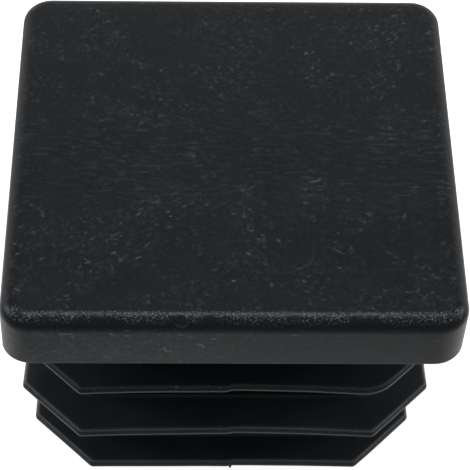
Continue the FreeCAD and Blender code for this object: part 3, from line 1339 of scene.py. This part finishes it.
@dataclass
class Studio:
    """The white table, the lamps and the camera.

    Attributes:
        table_height: Where the table's top lies.
        table_radius: How far the white table reaches.
        room: How bright the room is that the cap reflects.
        sweep: How much brighter the backdrop is, low behind the cap.
        lens: The camera's focal length in millimetres, on a 36 mm sensor.
        azimuth: Where the camera stands round the cap, in degrees.
        elevation: How high it stands, in degrees.
        roll: How far it is turned about its own axis, in degrees.
        distance: How far it stands from the cap's origin.
        aside: How far it is moved along the picture's x and y.
        sensor: The width of its sensor in millimetres.
        near_clip: How near it shows things.
        table_sides: Corners in the table's outline.
        table_white: How bright the table is to the camera.
        table_tone: Its own colour, that the cap's shadow falls on.
        pool_squash: How wide along y the bright part that the cap mirrors is, as a share of its length along x.
        pool_edge: How far from the middle that part has ended, and where it is full.
        pool_bright: How bright it is.
        pool_beyond: How bright the table is beyond it.
    """

    table_height: float
    table_radius: float = 0.11
    room: float = 0.12
    sweep: float = 0.5
    lens: float = 150.80
    azimuth: float = -1.714
    elevation: float = 49.869
    roll: float = 1.556
    distance: float = 0.18206
    aside: tuple[float, float] = (0.256 * MM, -4.187 * MM)
    sensor: float = 36.0
    near_clip: float = 0.01
    table_sides: int = 96
    table_white: float = 0.93
    table_tone: Colour = (0.8, 0.8, 0.8, 1.0)
    pool_squash: float = 0.62
    pool_edge: tuple[float, float] = (0.0426, 0.0343)
    pool_bright: float = 0.48
    pool_beyond: float = 0.025

    def camera(self) -> bpy.types.Object:
        """Stands the camera where the photograph was taken from."""
        turn, lift, roll = (math.radians(angle) for angle in (self.azimuth, self.elevation, self.roll))
        right = Vector((math.cos(turn), math.sin(turn), 0.0))
        back = Vector((math.sin(turn) * math.cos(lift), -math.cos(turn) * math.cos(lift), math.sin(lift)))
        up = back.cross(right)
        across = right * math.cos(roll) + up * math.sin(roll)
        upward = up * math.cos(roll) - right * math.sin(roll)
        lens = bpy.data.cameras.new("camera")
        lens.lens, lens.sensor_width, lens.clip_start = self.lens, self.sensor, self.near_clip
        made = piece("camera", lens)
        place = back * self.distance + across * self.aside[0] + upward * self.aside[1]
        made.matrix_world = Matrix.Translation(place) @ Matrix((across, upward, back)).transposed().to_4x4()
        bpy.context.scene.camera = made
        return made

    def table(self) -> bpy.types.Object:
        """Lays the round white table top, which isn't part of the cap."""
        work = bmesh.new()
        bmesh.ops.create_circle(work, cap_ends=True, segments=self.table_sides, radius=self.table_radius)
        bmesh.ops.translate(work, verts=work.verts, vec=(0.0, 0.0, self.table_height))
        mesh = bpy.data.meshes.new("table")
        work.to_mesh(mesh)
        work.free()
        made = piece("table", mesh)
        mesh.materials.append(self.white())
        return made

    def white(self) -> bpy.types.Material:
        """White table top: background to the camera, and still soft with the cap's shadow. Clear from below.

        In the cap's gloss it glows brightest close by: a painted pool of light that only reflections see.
        """
        made = bpy.data.materials.new("white_table")
        t = Tree.of(made)
        path = t.read("ShaderNodeLightPath")
        seen = path["Is Camera Ray"] + path["Is Transmission Ray"]
        x, y, _ = t.split(t.read("ShaderNodeTexCoord")["Object"])
        away = t.vector("LENGTH", t.join(x * self.pool_squash, y, 0.0))
        # painted pool of light, that only the cap's reflections see
        painted_pool_glow = t.ramp(away, *self.pool_edge) * self.pool_bright + self.pool_beyond
        strength = seen * self.table_white + painted_pool_glow * path["Is Glossy Ray"]
        glow = t.wired("ShaderNodeEmission", {"Color": WHITE, "Strength": strength})
        matt = t.wired("ShaderNodeBsdfDiffuse", {"Color": self.table_tone})
        both = t.wired("ShaderNodeAddShader", {0: glow.outputs[0], 1: matt.outputs[0]})
        clear = t.add("ShaderNodeBsdfTransparent")
        below = t.read("ShaderNodeNewGeometry")["Backfacing"]
        shown = t.wired("ShaderNodeMixShader", {0: below, 1: both.outputs[0], 2: clear.outputs[0]})
        t.wired("ShaderNodeOutputMaterial", {"Surface": shown.outputs[0]})
        return made

    def world(self) -> bpy.types.World:
        """White behind everything, and for reflections a dim room with a pale sweep low behind the cap."""
        made = bpy.data.worlds.new("room")
        t = Tree.of(made)
        path = t.read("ShaderNodeLightPath")
        seen = t.math("ADD", path["Is Camera Ray"], path["Is Transmission Ray"], clamp=True)
        _, depth, height = t.split(t.read("ShaderNodeTexCoord")["Generated"])
        low = t.ramp(height, 0.45, 0.1)
        behind = t.ramp(depth, 0.1, 0.6)
        dim = low * behind * self.sweep + self.room
        strength = t.math("MAXIMUM", seen, dim)
        back = t.wired("ShaderNodeBackground", {"Color": WHITE, "Strength": strength})
        t.wired("ShaderNodeOutputWorld", {"Surface": back.outputs[0]})
        bpy.context.scene.world = made
        return made

    def lamps(self) -> None:
        """Hangs the soft lamps, each facing the cap."""
        for lamp in Lamp:
            where, (width, depth), power = lamp.value
            light = bpy.data.lights.new(lamp.name.lower(), "AREA")
            light.shape, light.size, light.size_y, light.energy = "RECTANGLE", width, depth, power
            made = piece(light.name, light)
            aim = (-Vector(where)).to_track_quat("-Z", "Y").to_matrix().to_4x4()
            made.matrix_world = Matrix.Translation(where) @ aim

    def build(self) -> None:
        """Sets up everything that isn't the cap."""
        self.camera()
        self.table()
        self.world()
        self.lamps()
        bpy.context.scene.view_settings.view_transform = "Standard"
        log.info("studio: table, room, %d lamps and camera", len(Lamp))


def main() -> None:
    """Builds the studio, then the cap's two pieces."""
    logging.basicConfig(level=logging.INFO, format="%(name)s: %(message)s", stream=sys.stdout)
    sizes, effects = CapSizes(), Effects()
    Studio(table_height=-sizes.stem_length).build()

    top = sizes.head_thickness
    head_plastic = HeadPlastic(
        name="head_plastic", base=(0.0100, 0.0108, 0.0122, 1.0), other=(0.0106, 0.0118, 0.0138, 1.0),
        scuff=(0.20, 0.21, 0.225, 1.0), roughness=0.30, gloss=0.32, grain_cell=0.13 * MM,
        grain_depth=0.012 * MM, wave_depth=0.015 * MM, wear=0.9,
        scratches=tuple(
            [Scratch.on_face(*row) for row in FACE_SCRATCHES]
            + [Scratch.on_front(*row) for row in FRONT_SCRATCHES]
        ),
        swirls=(
            Swirl((4.0 * MM, -11.6 * MM, top), (0.7, -0.7, 0.0), 2.9 * MM, 0.12 * MM, 0.10),
            Swirl((5.4 * MM, -12.6 * MM, top), (0.4, -0.9, 0.0), 1.4 * MM, 0.12 * MM, 0.14),
            Swirl((-5.5 * MM, -20.0 * MM, 2.3 * MM), (-0.7, 0.0, -0.7), 0.5 * MM, 0.2 * MM, 1.0),
            Swirl((-3.1 * MM, -20.0 * MM, 2.4 * MM), (0.7, 0.0, 0.7), 0.45 * MM, 0.2 * MM, 1.0),
            Swirl((-4.5 * MM, -19.4 * MM, 5.4 * MM), (0.0, -0.7, -0.7), 0.6 * MM, 0.14 * MM, 0.35),
        ),
    )
    # the fins' other tone is painted light that lifts the shade between the fins
    fin_plastic = MouldedPlastic(
        name="fin_plastic", base=(0.012, 0.013, 0.015, 1.0), other=(0.046, 0.052, 0.060, 1.0),
        scuff=(0.25, 0.26, 0.28, 1.0), roughness=0.34, gloss=0.32, grain_cell=0.16 * MM,
        grain_depth=0.005 * MM, wave_depth=0.015 * MM, wear=0.2,
    )
    dent = Dent(centre=(-4.5 * MM, -19.6 * MM, 5.3 * MM), reach=0.62 * MM, depth=0.06 * MM)
    body = CapBody(sizes, dents=[dent]).build()
    body.data.materials.append(head_plastic.material(effects))
    seat(body)
    seat(FinStack(sizes).build(fin_plastic.material(effects)))


if __name__ == "__main__":
    main()
